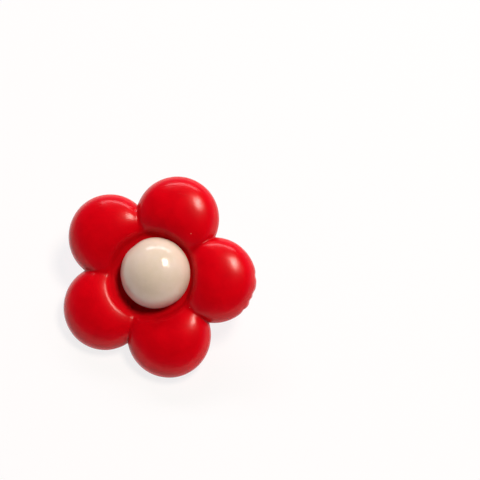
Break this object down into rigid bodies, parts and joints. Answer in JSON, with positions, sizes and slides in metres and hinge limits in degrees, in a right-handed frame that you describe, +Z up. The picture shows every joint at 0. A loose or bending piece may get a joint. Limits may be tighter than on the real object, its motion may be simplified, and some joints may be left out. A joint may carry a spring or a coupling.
{
  "type": "flower shank button",
  "caption": "Moulded plastic flower button with five domed red petals, a ball-like ivory centre and a loop shank behind for the sewing thread.",
  "frame": {"origin": "centre of the bounding box at its bottom, on the surface that the button lies on", "axes": "+Z up; the button lies face up and leans on its loop towards -Y, where two petals touch the surface; +X is across the button, along the plane of the loop"},
  "size_m": [0.015, 0.013, 0.0082],
  "materials": {
    "red_plastic": "glossy opaque red, satin on the flat of the back",
    "ivory_plastic": "glossy opaque ivory, slightly translucent"
  },
  "bodies": {
    "root": {"flower_body": "red_plastic", "centre_and_shank": "ivory_plastic"}
  },
  "joints": []
}
